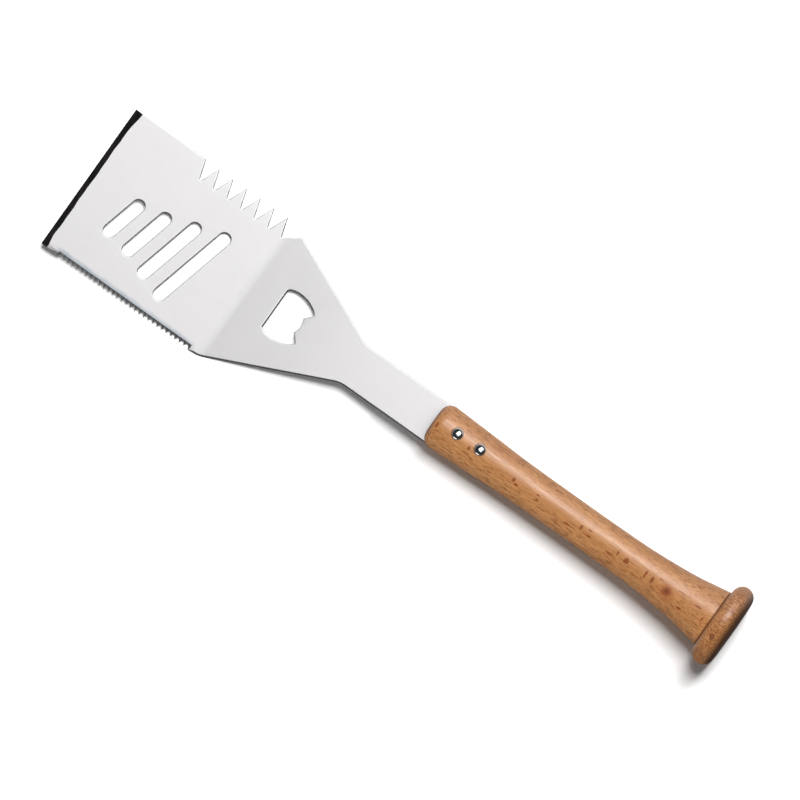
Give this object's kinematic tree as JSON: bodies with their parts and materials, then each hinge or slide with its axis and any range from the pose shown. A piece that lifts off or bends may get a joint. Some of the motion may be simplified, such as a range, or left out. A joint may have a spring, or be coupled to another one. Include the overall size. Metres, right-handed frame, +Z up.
{
  "type": "grill spatula",
  "caption": "Long barbecue turner: bent sheet-steel blade with drain slots, toothed and serrated edges and a bottle opener, riveted in a turned wooden handle with a knob.",
  "frame": {"origin": "on the surface the tool lies on, under the handle's axis, half way along the overall length", "axes": "+X from the blade's front edge to the knob, +Y to the edge with the large teeth, +Z up, with the bend and the knob's rim on the surface"},
  "size_m": [0.4601, 0.0964, 0.0525],
  "materials": {
    "steel_sheet": "fine satin stainless sheet with ground edges",
    "beech": "turned beech, oiled and lightly polished",
    "rivet": "polished domed head"
  },
  "bodies": {
    "root": {"blade": "steel_sheet", "handle": "beech", "rivet_front_stem": "rivet", "rivet_front_barrel": "rivet", "rivet_rear_stem": "rivet", "rivet_rear_barrel": "rivet"}
  },
  "joints": []
}
